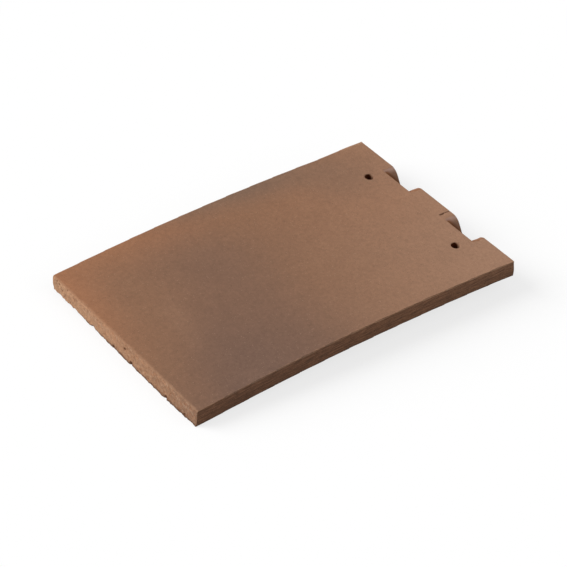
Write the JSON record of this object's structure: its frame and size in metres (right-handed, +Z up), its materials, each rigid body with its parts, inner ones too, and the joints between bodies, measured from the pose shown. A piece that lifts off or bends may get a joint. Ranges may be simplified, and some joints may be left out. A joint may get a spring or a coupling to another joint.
{
  "type": "clay plain roof tile",
  "caption": "Flat rectangular fired-clay roof tile with a gentle lengthwise camber, pressed nibs at the head that hook over a batten, and nail holes beside them.",
  "frame": {"origin": "middle of the outline, on the floor that the tile lies on", "axes": "+X across the tile, +Y from the tail up to the head, +Z up through the weathered face"},
  "size_m": [0.165, 0.2656, 0.0236],
  "materials": {
    "fired_clay": "matte"
  },
  "bodies": {
    "root": {"roof_tile": "fired_clay"}
  },
  "joints": []
}
